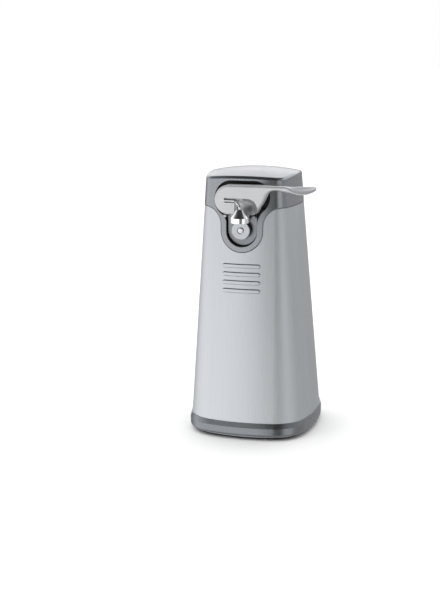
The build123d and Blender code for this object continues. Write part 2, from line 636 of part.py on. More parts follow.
def lever_hub():
    """The pivot shaft inside the head, with the crank that works the switch."""
    shaft = rod(PIVOT_X, PIVOT_Z, HUB_R, -43.2, -13.0)
    collar = rod(PIVOT_X, PIVOT_Z, HUB_SEAT_R, -43.4, -39.2)
    crank = block(PIVOT_X - CRANK, PIVOT_X, -29.0, -25.0, PIVOT_Z - 2.5, PIVOT_Z + 2.5)
    crank += rod(PIVOT_X - CRANK, PIVOT_Z, 2.5, -29.0, -25.0) + rod(PIVOT_X, PIVOT_Z, 5.5, -29.0, -25.0)
    groove = tube(PIVOT_X, PIVOT_Z, HUB_R + 1, HUB_R - CLIP_DEPTH, *CLIP_Y)
    return lever_key() + shaft + collar + crank - groove


def arm_route():
    """The magnet arm's line: a pivot length along X, then a bend forward and down to its ball."""
    points = [
        (-18.0, ARM_Y, ARM_Z),
        (-3.6, ARM_Y, ARM_Z),
        (CUP_X, CUP_Y, 203.6),
        (CUP_X, CUP_Y, BALL_Z),
    ]
    return FilletPolyline(*points, radius=[4.6, 2.6])


def magnet_arm():
    route = arm_route()
    start = route @ 0
    wire = sweep(Plane(origin=start, z_dir=route % 0) * Circle(ARM_R), path=route)
    wire += Pos(CUP_X, CUP_Y, BALL_Z) * Sphere(BALL_R)
    return wire


def arm_collar():
    """A small collar crimped on the wire, which keeps it in the lever's bore."""
    return Pos(-11.6, ARM_Y, ARM_Z) * Rot(0, 90, 0) * (Cylinder(1.35, 0.9) - Cylinder(ARM_R, 2))


def magnet_cup():
    """A chromed bell: a short cylinder under a cone, hollow, with a hole for the arm's ball."""
    def bell(shrink, low):
        ring = Pos(CUP_X, CUP_Y, (low + CUP_RIM_Z) / 2) * Cylinder(CUP_R - shrink, CUP_RIM_Z - low)
        height = CUP_TOP_Z - CUP_RIM_Z - shrink
        top = Cone(CUP_R - shrink, CUP_NECK_R - shrink * 0.2, height)
        return ring + Pos(CUP_X, CUP_Y, CUP_RIM_Z + height / 2) * top
    hull = bell(0, CUP_LOW_Z)
    rims = hull.edges().filter_by(GeomType.CIRCLE).sort_by(Axis.Z)
    hull = fillet([rims[-1]], 0.6)
    cup = hull - bell(CUP_WALL, CUP_LOW_Z - 1)
    return cup - Pos(CUP_X, CUP_Y, CUP_TOP_Z) * Cone(1.2, 1.85, 4)


def magnet():
    disc = Pos(CUP_X, CUP_Y, CUP_RIM_Z - MAGNET_T / 2) * Cylinder(CUP_R - CUP_WALL, MAGNET_T)
    return chamfer(disc.edges().filter_by(GeomType.CIRCLE).sort_by(Axis.Z)[0], 0.4)


# ---------------------------------------------------------------- gearbox
def plate_outline(low, high, half):
    r = 6.0
    return face_of(
        line((-half + r, low), (half - r, low)),
        arc(half - r, low + r, r, -90, 0),
        line((half, low + r), (half, high - r)),
        arc(half - r, high - r, r, 0, 90),
        line((half - r, high), (-half + r, high)),
        arc(-half + r, high - r, r, 90, 180),
        line((-half, high - r), (-half, low + r)),
        arc(-half + r, low + r, r, 180, 270),
    )


def gear_plate(y0, y1):
    plate = slab(plate_outline(PLATE_LOW_Z, PLATE_HIGH_Z, PLATE_HALF_W), y0, y1)
    for x, z in PILLARS + FRAME_SCREWS:
        plate -= rod(x, z, 1.7, y0 - 1, y1 + 1)
    for x, z in ((SECOND_X, SECOND_Z), (FIRST_X, FIRST_Z)):
        plate -= rod(x, z, AXLE_R, y0 - 1, y1 + 1)
    for x, z in ((0, DRIVE_Z), (PIVOT_X, PIVOT_Z)):
        plate -= rod(x, z, BUSH_R, y0 - 1, y1 + 1)
    return plate


def gearbox_front_plate():
    return gear_plate(*FRONT_PLATE_Y)


def gearbox_rear_plate():
    plate = gear_plate(*REAR_PLATE_Y) - rod(MOTOR_X, MOTOR_Z, 5.0, -20, -10)
    for x in (-MOTOR_SCREW_X, MOTOR_SCREW_X):
        plate -= rod(MOTOR_X + x, MOTOR_Z, 1.3, -20, -10)
    return plate


def gearbox_pillars():
    return [tube(x, z, 3.2, 1.4, FRONT_PLATE_Y[1], REAR_PLATE_Y[0]) for x, z in PILLARS]


def gearbox_screws():
    """Screws into both ends of each pillar, and into the frame's posts."""
    made = []
    for x, z in PILLARS + FRAME_SCREWS:
        made.append(screw(x, z, 1.35, 2.8, FRONT_PLATE_Y[0], FRONT_PLATE_Y[1] + 7))
        made.append(screw(x, z, 1.35, 2.8, REAR_PLATE_Y[1], REAR_PLATE_Y[0] - 7))
    return made


def bush(x, z, inner, y0, y1):
    """A plain bearing pressed in a plate from y0, with a flange beyond y1."""
    flange_y = y1 + (0.7 if y1 > y0 else -0.7)
    return tube(x, z, BUSH_R, inner, y0, y1) + tube(x, z, BUSH_R + 1.4, inner, y1, flange_y)


def drive_bush_front():
    return bush(0, DRIVE_Z, SHAFT_R + RUN, *FRONT_PLATE_Y)


def drive_bush_rear():
    return bush(0, DRIVE_Z, SHAFT_R + RUN, *reversed(REAR_PLATE_Y))


def lever_bush_front():
    return bush(PIVOT_X, PIVOT_Z, HUB_R + RUN, *FRONT_PLATE_Y)


def lever_bush_rear():
    return bush(PIVOT_X, PIVOT_Z, HUB_R + RUN, *reversed(REAR_PLATE_Y))


def gear_axles():
    return [rod(x, z, AXLE_R, FRONT_PLATE_Y[0], REAR_PLATE_Y[1])
            for x, z in ((SECOND_X, SECOND_Z), (FIRST_X, FIRST_Z))]


def output_gear():
    wheel = gear(0, DRIVE_Z, OUTPUT_TEETH, OUTPUT_MODULE, *OUTPUT_Y, phase=0)
    wheel -= tube(0, DRIVE_Z, 19.5, 9.0, OUTPUT_Y[0] - 1, OUTPUT_Y[0] + 1.6)
    wheel -= tube(0, DRIVE_Z, 19.5, 9.0, OUTPUT_Y[1] - 1.6, OUTPUT_Y[1] + 1)
    for k in range(6):
        x, z = polar(0, DRIVE_Z, 14.2, 60 * k)
        wheel -= rod(x, z, 3.4, -40, -20)
    return wheel - rod(0, DRIVE_Z, SHAFT_R, -50, -20)


SECOND_PHASE = mesh_phase(0, DRIVE_Z, SECOND_X, SECOND_Z, SECOND_PINION_TEETH, OUTPUT_TEETH, 0)
FIRST_PHASE = mesh_phase(SECOND_X, SECOND_Z, FIRST_X, FIRST_Z, FIRST_PINION_TEETH, SECOND_TEETH, 0)
MOTOR_PHASE = mesh_phase(FIRST_X, FIRST_Z, MOTOR_X, MOTOR_Z, MOTOR_PINION_TEETH, FIRST_TEETH, 0)


def second_gear():
    """Compound gear: a pinion for the output gear, and a wheel driven by the first gear."""
    teeth, module = SECOND_PINION_TEETH, OUTPUT_MODULE
    pinion = gear(SECOND_X, SECOND_Z, teeth, module, *SECOND_PINION_Y, phase=SECOND_PHASE)
    wheel = gear(SECOND_X, SECOND_Z, SECOND_TEETH, SECOND_MODULE, *SECOND_Y, phase=0)
    wheel -= tube(SECOND_X, SECOND_Z, 15.5, 7.5, SECOND_Y[0] - 1, SECOND_Y[0] + 1.2)
    hub = rod(SECOND_X, SECOND_Z, 4.2, SECOND_Y[1] - 0.1, REAR_PLATE_Y[0] - 0.3)
    return pinion + wheel + hub - rod(SECOND_X, SECOND_Z, AXLE_R + RUN, -50, -10)


def first_gear():
    pinion = gear(FIRST_X, FIRST_Z, FIRST_PINION_TEETH, SECOND_MODULE, *FIRST_PINION_Y, phase=FIRST_PHASE)
    wheel = gear(FIRST_X, FIRST_Z, FIRST_TEETH, FIRST_MODULE, *FIRST_Y, phase=0)
    wheel -= tube(FIRST_X, FIRST_Z, 13.0, 6.5, FIRST_Y[0] - 1, FIRST_Y[0] + 1.0)
    hub = rod(FIRST_X, FIRST_Z, 3.6, FRONT_PLATE_Y[1] + 0.3, FIRST_PINION_Y[0] + 0.1)
    tail = rod(FIRST_X, FIRST_Z, 3.6, FIRST_Y[1] - 0.1, REAR_PLATE_Y[0] - 0.3)
    return pinion + wheel + hub + tail - rod(FIRST_X, FIRST_Z, AXLE_R + RUN, -50, -10)


def motor_pinion():
    pinion = gear(MOTOR_X, MOTOR_Z, MOTOR_PINION_TEETH, FIRST_MODULE, *MOTOR_PINION_Y, phase=MOTOR_PHASE)
    return pinion - rod(MOTOR_X, MOTOR_Z, MOTOR_SHAFT_R, -40, 0)


# ---------------------------------------------------------------- motor
def motor_can():
    """The drawn steel can, with a bearing hole and two screw holes in its face."""
    y0 = REAR_PLATE_Y[1]
    can = rod(MOTOR_X, MOTOR_Z, MOTOR_R, y0, MOTOR_CAP_Y)
    can = fillet(can.edges().filter_by(GeomType.CIRCLE).sort_by(Axis.Y)[0], 1.5)
    can -= rod(MOTOR_X, MOTOR_Z, MOTOR_R - MOTOR_WALL, y0 + MOTOR_WALL, MOTOR_CAP_Y + 1)
    for x in (-MOTOR_SCREW_X, MOTOR_SCREW_X):
        can -= rod(MOTOR_X + x, MOTOR_Z, 1.3, y0 - 1, y0 + 5)
    return can - rod(MOTOR_X, MOTOR_Z, BEARING_R, y0 - 1, y0 + 5)


def motor_screws():
    return [screw(MOTOR_X + x, MOTOR_Z, 1.25, 2.2, REAR_PLATE_Y[0], REAR_PLATE_Y[1] + 3.0, 1.0)
            for x in (-MOTOR_SCREW_X, MOTOR_SCREW_X)]


def motor_bearing(y0, y1):
    return tube(MOTOR_X, MOTOR_Z, BEARING_R, MOTOR_SHAFT_R + 0.03, y0, y1)


def motor_magnets():
    """Two arc magnets, bonded inside the can above and below."""
    outer, inner = MOTOR_R - MOTOR_WALL, MOTOR_R - MOTOR_WALL - 3.2
    ring = tube(MOTOR_X, MOTOR_Z, outer, inner, -10.0, 16.0)
    ring -= block(MOTOR_X - 30, MOTOR_X + 30, -20, 30, MOTOR_Z - 6, MOTOR_Z + 6)
    return ring.solids()


def motor_end_cap():
    """The moulded end cap, with a bearing hole, posts for the brushes and two tag terminals."""
    cap = rod(MOTOR_X, MOTOR_Z, MOTOR_R, MOTOR_CAP_Y, MOTOR_END_Y)
    cap += tube(MOTOR_X, MOTOR_Z, MOTOR_R - MOTOR_WALL, MOTOR_R - 4, MOTOR_CAP_Y - 2.5, MOTOR_CAP_Y)
    for s in (-1, 1):
        x0, x1 = sorted((MOTOR_X + s * 6.0, MOTOR_X + s * 12.0))
        cap += block(x0, x1, 17.0, MOTOR_CAP_Y + 0.5, MOTOR_Z - 3.2, MOTOR_Z + 3.2)
        cap -= block(x0 - 1, x1 + 1, 17.6, 20.4, MOTOR_Z - 1.9, MOTOR_Z + 1.9)
        tag = MOTOR_X + s * 14.0
        back = MOTOR_END_Y + 1.9
        cap += block(tag - 1.6, tag + 1.6, MOTOR_END_Y - 0.5, back, MOTOR_Z - 9.0, MOTOR_Z - 8.2)
    return cap - rod(MOTOR_X, MOTOR_Z, BEARING_R, 10, 40)


def brushes():
    made = []
    for s in (-1, 1):
        x0, x1 = sorted((MOTOR_X + s * 4.6, MOTOR_X + s * 11.0))
        made.append(block(x0, x1, 17.7, 20.3, MOTOR_Z - 1.8, MOTOR_Z + 1.8))
    return made


def motor_shaft():
    return rod(MOTOR_X, MOTOR_Z, MOTOR_SHAFT_R, MOTOR_PINION_Y[0] - 0.4, 35.2)


def armature_core():
    """The slotted stack of laminations."""
    core = rod(MOTOR_X, MOTOR_Z, 13.3, -8.0, 13.0)
    for k in range(MOTOR_POLES):
        angle = 360.0 / MOTOR_POLES * k
        x, z = polar(MOTOR_X, MOTOR_Z, 9.0, angle)
        mouth = Pos(x, 2.5, z) * Rot(0, -angle, 0) * (Box(6.0, 30, 2.8) + Pos(4, 0, 0) * Box(5, 30, 1.2))
        core -= mouth
    return core - rod(MOTOR_X, MOTOR_Z, MOTOR_SHAFT_R, -30, 30)


def armature_windings():
    """The end turns of the windings, a rounded ring at each end of the core."""
    made = []
    for y0, y1 in ((-11.5, -8.0), (13.0, 16.4)):
        ring = tube(MOTOR_X, MOTOR_Z, 11.6, 2.6, y0, y1)
        outer_end = ring.edges().filter_by(GeomType.CIRCLE).sort_by(Axis.Y)
        ends = outer_end[:2] if y0 < 0 else outer_end[-2:]
        made.append(fillet(ends, 1.4))
    return made


def commutator():
    body = tube(MOTOR_X, MOTOR_Z, 4.5, MOTOR_SHAFT_R, 16.5, 20.8)
    for k in range(MOTOR_POLES):
        angle = 360.0 / MOTOR_POLES * k
        x, z = polar(MOTOR_X, MOTOR_Z, 4.4, angle)
        body -= Pos(x, 18.7, z) * Rot(0, -angle, 0) * Box(1.0, 6, 0.35)
    return body


def cooling_fan():
    hub = rod(MOTOR_X, MOTOR_Z, 4.2, 28.0, 34.5) + rod(MOTOR_X, MOTOR_Z, 15.5, 28.0, 29.0)
    for k in range(9):
        angle = 40.0 * k
        x, z = polar(MOTOR_X, MOTOR_Z, 9.6, angle)
        hub += Pos(x, 31.2, z) * Rot(0, -angle - 12, 0) * Box(11.4, 5.6, 0.9)
    return hub - rod(MOTOR_X, MOTOR_Z, MOTOR_SHAFT_R, 20, 40)


# ---------------------------------------------------------------- frame, switch and small parts
def support_frame():
    """The moulded stand between the bottom cover and the gearbox plates."""
    y0, y1 = FRONT_PLATE_Y[1], REAR_PLATE_Y[0]
    frame = block(-30, 30, -40, -12, 4.5, 7.5)
    for s in (-1, 1):
        x0, x1 = sorted((s * 22.0, s * 29.0))
        frame += block(x0, x1, y0, y1, 7.0, 106.0)
    frame += block(-22, 22, y0 + 6, y1 - 6, 40.0, 43.0) + block(-22, 22, y0 + 6, y1 - 6, 80.0, 83.0)
    for x, z in FRAME_SCREWS:
        frame -= rod(x, z, 1.35, y0 - 1, y1 + 1)
    for x, y in FRAME_FEET:
        frame -= Pos(x, y, 6) * Cylinder(1.4, 5)
    return frame


def frame_screws():
    made = []
    for x, y in FRAME_FEET:
        made.append(Pos(x, y, 5.0) * Cylinder(1.4, 4.8) + Pos(x, y, 1.35) * Cylinder(2.6, 1.3)
                    + Pos(x, y, 2.3) * Cylinder(1.4, 1.0))
    return made


SWITCH_X, SWITCH_Z = PIVOT_X - CRANK, 213.2  # the plunger's axis, and the case's lower face
SWITCH_HALF, PLUNGER_R = 6.0, 1.0


def switch_body():
    """The snap-action switch, hung from the front plate above the crank."""
    left, right = SWITCH_X - SWITCH_HALF, SWITCH_X + SWITCH_HALF
    case = block(left, right, -30.0, -24.0, SWITCH_Z, SWITCH_Z + 8.0)
    case -= Pos(SWITCH_X, -27, SWITCH_Z + 3) * Cylinder(PLUNGER_R + RUN, 7)
    case += block(left, right, FRONT_PLATE_Y[1], -30.0, SWITCH_Z + 1.5, SWITCH_Z + 2.8)
    for dx in (-4.0, 0.0, 4.0):
        case += block(SWITCH_X + dx - 1.0, SWITCH_X + dx + 1.0, -24.0, -21.0, SWITCH_Z + 5.5, SWITCH_Z + 6.1)
    return case


def switch_plunger():
    """The switch's plunger, which follows the crank up and down."""
    low, high = PIVOT_Z + 2.5 + 0.35, SWITCH_Z + 5.4
    stem = Pos(SWITCH_X, -27, (low + high) / 2) * Cylinder(PLUNGER_R, high - low)
    return fillet(stem.edges().filter_by(GeomType.CIRCLE).sort_by(Axis.Z)[0], PLUNGER_R - 0.1)


def lever_spring():
    """A coil spring that presses the hub's collar forward, so that the lever stays where it is put."""
    turns, pitch, coil_r, wire_r = 4, 1.5, 5.2, 0.5
    helix = Helix(pitch=pitch, height=pitch * turns, radius=coil_r)
    section = Plane(origin=helix @ 0, z_dir=helix % 0) * Circle(wire_r)
    coil = sweep(section, path=helix)
    return Pos(PIVOT_X, -18.4, PIVOT_Z) * Rot(90, 0, 0) * coil


def terminal_block():
    """The block that joins the mains lead to the motor's wires, with two clamp screws."""
    body = block(-11, 11, 22, 34, 4.5, 15.0)
    for x, y in CLAMPS:
        body -= Pos(x, y, 13.4) * Cylinder(2.2, 5)
        body -= rod(x, 8.5, 1.5, 20, 36)
    return body


def terminal_screws():
    return [Pos(x, y, 11.7) * Cylinder(1.9, 1.6) - Pos(x, y, 12.3) * Box(3.4, 0.5, 0.8) for x, y in CLAMPS]


NODES = {
    "body_shell": body_shell,
    "head_housing": head_housing,
    "rear_cover": rear_cover,
    "base_ring": base_ring,
    "bottom_cover": bottom_cover,
    "foot_ring": foot_ring,
    "base_screws": base_screws,
    "cord_inlet": cord_inlet,
    "guide_plate": guide_plate,
    "can_guide_studs": can_guide_studs,
    "drive_wheel": drive_wheel,
    "drive_shaft": drive_shaft,
    "drive_clip": lambda: ring_clip(0, DRIVE_Z, SHAFT_R - CLIP_DEPTH, SHAFT_R + 2.0, *CLIP_Y),
    "output_gear": output_gear,
    "second_gear": second_gear,
    "first_gear": first_gear,
    "motor_pinion": motor_pinion,
    "gear_axles": gear_axles,
    "gearbox_front_plate": gearbox_front_plate,
    "gearbox_rear_plate": gearbox_rear_plate,
    "gearbox_pillars": gearbox_pillars,
    "gearbox_screws": gearbox_screws,
    "drive_bush_front": drive_bush_front,
    "drive_bush_rear": drive_bush_rear,
    "lever_bush_front": lever_bush_front,
    "lever_bush_rear": lever_bush_rear,
    "lever": lever,
    "lever_hub": lever_hub,
    "hub_clip": lambda: ring_clip(PIVOT_X, PIVOT_Z, HUB_R - CLIP_DEPTH, HUB_R + 2.0, *CLIP_Y),
    "lever_spring": lever_spring,
    "cutting_wheel": cutting_wheel,
    "cutter_axle": cutter_axle,
    "cutter_washer": cutter_washer,
    "magnet_arm": magnet_arm,
    "arm_collar": arm_collar,
    "magnet_cup": magnet_cup,
    "magnet": magnet,
    "motor_can": motor_can,
    "motor_magnets": motor_magnets,
    "motor_end_cap": motor_end_cap,
    "motor_bearing_front": lambda: motor_bearing(REAR_PLATE_Y[1], REAR_PLATE_Y[1] + BEARING_T),
    "motor_bearing_rear": lambda: motor_bearing(MOTOR_CAP_Y, MOTOR_CAP_Y + BEARING_T + 0.5),
    "motor_screws": motor_screws,
    "motor_shaft": motor_shaft,
    "armature_core": armature_core,
    "armature_windings": armature_windings,
    "commutator": commutator,
    "brushes": brushes,
    "cooling_fan": cooling_fan,
    "support_frame": support_frame,
    "frame_screws": frame_screws,
    "switch_body": switch_body,
    "switch_plunger": switch_plunger,
    "terminal_block": terminal_block,
    "terminal_screws": terminal_screws,
}

os.makedirs("parts", exist_ok=True)
for node, make in NODES.items():
    made = make()
    solids = made if isinstance(made, list) else made.solids()
    export_step(Compound(children=[Solid(s.wrapped) if not isinstance(s, Solid) else s for s in
                                   [t for item in solids for t in item.solids()]]), f"parts/{node}.step")
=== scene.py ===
"""Looks of the electric can opener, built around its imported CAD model.

Every length here is in metres in the model's own frame: +Z up, the front faces -Y, the worktop is z = 0.
"""

import json
import math

import bpy
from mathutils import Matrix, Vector


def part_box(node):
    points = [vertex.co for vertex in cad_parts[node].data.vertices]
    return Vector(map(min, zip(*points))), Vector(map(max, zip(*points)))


MM = 0.001

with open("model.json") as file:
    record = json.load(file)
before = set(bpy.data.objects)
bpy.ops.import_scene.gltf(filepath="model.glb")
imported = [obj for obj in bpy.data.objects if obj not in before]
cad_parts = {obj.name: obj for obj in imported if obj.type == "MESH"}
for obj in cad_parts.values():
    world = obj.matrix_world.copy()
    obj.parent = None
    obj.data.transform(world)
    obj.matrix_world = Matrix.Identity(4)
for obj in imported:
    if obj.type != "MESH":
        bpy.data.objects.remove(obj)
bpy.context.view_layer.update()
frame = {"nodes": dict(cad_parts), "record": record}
nodes = frame["nodes"]


# ---------------------------------------------------------------- camera
AIM = Vector((0.0, 0.0, 0.116))
AZIMUTH, ELEVATION, DISTANCE = math.radians(15.4), math.radians(12.0), 1.05
SENSOR_WIDTH, FOCAL_LENGTH = 36.0, 71.1  # in millimetres
SHIFT_X, SHIFT_Y = -0.0615, -0.0085  # the object stands right of the middle of the picture


def make_camera():
    """The photograph's view: a little from the right, a little from above."""
    data = bpy.data.cameras.new("camera")
    camera = bpy.data.objects.new("camera", data)
    bpy.context.scene.collection.objects.link(camera)
    back = Vector((
        math.sin(AZIMUTH) * math.cos(ELEVATION),
        -math.cos(AZIMUTH) * math.cos(ELEVATION),
        math.sin(ELEVATION),
    ))
    camera.location = AIM + back * DISTANCE
    camera.rotation_mode = "QUATERNION"
    camera.rotation_quaternion = (-back).to_track_quat("-Z", "Y")
    data.sensor_width = SENSOR_WIDTH
    data.lens = FOCAL_LENGTH
    data.shift_x, data.shift_y = SHIFT_X, SHIFT_Y
    bpy.context.scene.camera = camera


make_camera()
bpy.context.scene.view_settings.view_transform = "Standard"


# ---------------------------------------------------------------- node helpers
class Shader:
    """A small wrapper that makes a material's nodes one call at a time."""

    def __init__(self, name):
        self.material = bpy.data.materials.new(name)
        self.material.use_nodes = True
        self.tree = self.material.node_tree
        self.tree.nodes.clear()
        output = self.tree.nodes.new("ShaderNodeOutputMaterial")
        self.bsdf = self.tree.nodes.new("ShaderNodeBsdfPrincipled")
        self.tree.links.new(self.bsdf.outputs[0], output.inputs[0])

    def set(self, values):
        """Constants on the shader's own sockets."""
        for name, value in values.items():
            self.bsdf.inputs[name].default_value = value
        return self

    def finish(self, colour, roughness, height, bump_strength, bump_distance):
        """Joins the last nodes to the shader, and gives back the finished material."""
        bump = self.node("Bump", {"Height": height, "Strength": bump_strength, "Distance": bump_distance})
        self.put(self.bsdf.inputs["Base Color"], colour)
        self.put(self.bsdf.inputs["Roughness"], roughness)
        self.put(self.bsdf.inputs["Normal"], bump.outputs[0])
        return self.material

    def node(self, kind, inputs=None, **settings):
        """A new node, with its settings and its inputs by name or number."""
        made = self.tree.nodes.new("ShaderNode" + kind)
        for name, value in settings.items():
            setattr(made, name, value)
        for key, value in (inputs or {}).items():
            self.put(made.inputs[key], value)
        return made

    def put(self, socket, value):
        """A link from another node, or a constant."""
        if isinstance(value, bpy.types.NodeSocket):
            self.tree.links.new(value, socket)
        else:
            socket.default_value = value

    def place(self, scale=(1, 1, 1)):
        """Object coordinates, stretched."""
        where = self.node("TexCoord").outputs["Object"]
        return self.node("Mapping", {"Vector": where, "Scale": scale}).outputs[0]

    def noise(self, scale, detail, rough=0.55, stretch=(1, 1, 1)):
        """Cloudy noise in object coordinates; a small stretch along an axis draws it out into streaks."""
        made = self.node("TexNoise", {"Vector": self.place(stretch), "Scale": scale, "Detail": detail,
                                      "Roughness": rough})
        return made.outputs["Fac"]

    def math(self, kind, a, b=0.0, c=0.0):
        return self.node("Math", {0: a, 1: b, 2: c}, operation=kind).outputs[0]

    def span(self, value, low, high, from_low=0.0, from_high=1.0):
        """value taken from one range to another, clamped."""
        made = self.node("MapRange", {"Value": value, "From Min": from_low, "From Max": from_high,
                                      "To Min": low, "To Max": high})
        return made.outputs[0]

    def mix(self, share, a, b):
        """A colour between a, at share 0, and b, at share 1."""
        made = self.node("Mix", data_type="RGBA")
        self.put(made.inputs["Factor"], share)
        self.put(made.inputs[6], a if isinstance(a, bpy.types.NodeSocket) else (*a, 1.0))
        self.put(made.inputs[7], b if isinstance(b, bpy.types.NodeSocket) else (*b, 1.0))
        return made.outputs[2]

    def edges(self, radius):
        """1 near a sharp edge, 0 on a flat face."""
        bevel = self.node("Bevel", {"Radius": radius}, samples=4).outputs[0]
        flat = self.node("NewGeometry").outputs["Normal"]
        turn = self.node("VectorMath", {0: bevel, 1: flat}, operation="DOT_PRODUCT").outputs["Value"]
        return self.span(turn, 1.0, 0.0, 0.75, 1.0)


# ---------------------------------------------------------------- materials
NOISE_LOW, NOISE_HIGH = 0.3, 0.7  # most of a noise texture's values lie between these
WORN = (0.8, 0.8, 0.8)  # paint rubbed thin at an edge
# the colour of the painted shade in the lever's scoop
PAINTED_SCOOP_SHADE_COLOUR = (0.04, 0.04, 0.043)


def brushed_steel():
    """Stainless sheet brushed up and down: fine streaks in colour, gloss and height, and painted shade
    along its sharp edges and creases.
    """
    s = Shader("brushed_steel").set({"Metallic": 1.0, "Anisotropic": 0.6})
    fine = s.noise(1100, 2.0, 0.6, (1, 1, 0.012))
    broad = s.noise(150, 3.0, 0.6, (1, 1, 0.015))
    cloud = s.noise(14, 2.0)
    streak = s.math("MULTIPLY_ADD", fine, 0.65, s.math("MULTIPLY", broad, 0.35))
    dark, light = (0.535, 0.562, 0.582), (0.625, 0.645, 0.66)
    colour = s.mix(s.span(streak, 0.0, 1.0, NOISE_LOW, NOISE_HIGH), dark, light)
    colour = s.mix(s.span(cloud, 0.0, 0.12), colour, (0.56, 0.585, 0.61))
    # painted shade: the colour darkens along sharp edges and in creases, where shade falls
    painted_edge_shade = s.math("MULTIPLY", s.edges(0.7 * MM), 0.6)
    colour = s.mix(painted_edge_shade, colour, (0.24, 0.25, 0.27))
    roughness = s.span(streak, 0.40, 0.50, NOISE_LOW, NOISE_HIGH)
    return s.finish(colour, roughness, streak, 0.08, 0.1 * MM)


def metallic_plastic(name, dark, light, metal, rough, shade=None):
    """Moulded plastic with a metallic paint: fine flake, unevenness, worn edges, and maybe a painted shade.
    """
    s = Shader(name).set({"Metallic": metal, "Coat Weight": 0.25, "Coat Roughness": 0.25})
    flake = s.node("TexVoronoi", {"Vector": s.place(), "Scale": 4200.0}).outputs["Distance"]
    cloud = s.noise(60, 4.0)
    grain = s.noise(2600, 2.0)
    colour = s.mix(s.span(flake, 0.0, 0.5, 0.1, 0.7), dark, light)
    colour = s.mix(s.span(cloud, 0.0, 0.25, NOISE_LOW, NOISE_HIGH), colour, light)
    colour = s.mix(s.span(s.edges(0.8 * MM), 0.0, 0.18), colour, WORN)
    if shade:
        # the painted shade, mixed into the colour where its mask says
        colour = s.mix(shade(s), colour, PAINTED_SCOOP_SHADE_COLOUR)
    roughness = s.span(cloud, rough - 0.03, rough + 0.05, NOISE_LOW, NOISE_HIGH)
    return s.finish(colour, roughness, grain, 0.10, 0.05 * MM)


# the lever's scoop: the middle of its painted shade in x and z, and the y range where the painted shade
# deepens
SCOOP_MIDDLE = (10 * MM, 0, 201 * MM)
SCOOP_RIM_Y, SCOOP_FLOOR_Y = -57.4 * MM, -56.2 * MM


def painted_scoop_shade(s):
    """Painted shade: the soft dark patch low in the lever's scoop, behind its front face, where the hollow
    would be shaded.
    """
    x, y, z = s.node("SeparateXYZ", {0: s.place()}).outputs[:3]
    flat = s.node("CombineXYZ", {0: x, 2: z}).outputs[0]
    away = s.node("VectorMath", {0: flat, 1: SCOOP_MIDDLE}, operation="DISTANCE").outputs["Value"]
    deep = s.span(y, 0.0, 1.0, SCOOP_RIM_Y, SCOOP_FLOOR_Y)
    return s.math("MULTIPLY", s.span(away, 0.86, 0.0, 1.5 * MM, 7.0 * MM), deep)


def plain_metal(name, low, high, rough, scale=400, bump=0.05):
    """Turned or plated metal: small variations of colour and gloss."""
    s = Shader(name).set({"Metallic": 1.0})
    cloud = s.noise(scale, 3.0)
    colour = s.mix(s.span(cloud, 0.0, 1.0, NOISE_LOW, NOISE_HIGH), low, high)
    roughness = s.span(cloud, rough * 0.8, rough * 1.2, NOISE_LOW, NOISE_HIGH)
    return s.finish(colour, roughness, cloud, bump, 0.05 * MM)


def plain_plastic(name, low, high, rough):
    """Unpainted moulded plastic or rubber: a fine grain and a little unevenness."""
    s = Shader(name).set({"Metallic": 0.0})
    grain = s.noise(900, 3.0)
    cloud = s.noise(45, 3.0)
    colour = s.mix(s.span(cloud, 0.0, 1.0, NOISE_LOW, NOISE_HIGH), low, high)
    roughness = s.span(grain, rough - 0.05, rough + 0.06, NOISE_LOW, NOISE_HIGH)
    return s.finish(colour, roughness, grain, 0.12, 0.06 * MM)


MATERIALS = {
    "steel_body": brushed_steel(),
    "head_plastic": metallic_plastic("head_plastic", (0.235, 0.25, 0.265), (0.30, 0.315, 0.33),
                                     metal=0.93, rough=0.24),
    "base_plastic": metallic_plastic("base_plastic", (0.18, 0.192, 0.205), (0.245, 0.258, 0.272),
                                     metal=0.93, rough=0.26),
    "foot_rubber": plain_plastic("foot_rubber", (0.02, 0.02, 0.022), (0.035, 0.035, 0.037), 0.7),
    "lever_plastic": metallic_plastic("lever_plastic", (0.50, 0.51, 0.52), (0.58, 0.59, 0.60),
                                      metal=0.6, rough=0.36, shade=painted_scoop_shade),
    "chrome": plain_metal("chrome", (0.86, 0.86, 0.87), (0.92, 0.92, 0.93), 0.05, 300, 0.02),
    "bright_steel": plain_metal("bright_steel", (0.36, 0.375, 0.39), (0.44, 0.455, 0.47), 0.24),
    "machined_steel": plain_metal("machined_steel", (0.45, 0.45, 0.46), (0.6, 0.6, 0.61), 0.3),
    "plated_steel": plain_metal("plated_steel", (0.50, 0.52, 0.53), (0.66, 0.67, 0.68), 0.34, 120),
    "screw_steel": plain_metal("screw_steel", (0.55, 0.55, 0.56), (0.68, 0.68, 0.69), 0.28),
    "gear_plastic": plain_plastic("gear_plastic", (0.72, 0.71, 0.66), (0.78, 0.77, 0.73), 0.42),
    "pinion_brass": plain_metal("pinion_brass", (0.62, 0.44, 0.18), (0.74, 0.56, 0.27), 0.25),
    "core_iron": plain_metal("core_iron", (0.22, 0.23, 0.25), (0.34, 0.35, 0.37), 0.42),
    "copper": plain_metal("copper", (0.55, 0.2, 0.08), (0.72, 0.32, 0.14), 0.28, 700, 0.3),
    "magnet_black": plain_plastic("magnet_black", (0.03, 0.03, 0.033), (0.06, 0.06, 0.065), 0.5),
    "frame_plastic": plain_plastic("frame_plastic", (0.03, 0.03, 0.032), (0.05, 0.05, 0.053), 0.5),
}
# these nodes are of their slot's metal, with a finish of their own
FINISHES = {
    "guide_plate": plain_metal("plate_steel", (0.17, 0.18, 0.19), (0.24, 0.25, 0.26), 0.3),
    "drive_shaft": plain_metal("polished_shaft", (0.88, 0.88, 0.89), (0.95, 0.95, 0.96), 0.55),
    "magnet_arm": plain_metal("satin_chrome", (0.90, 0.90, 0.91), (0.96, 0.96, 0.97), 0.34),
}
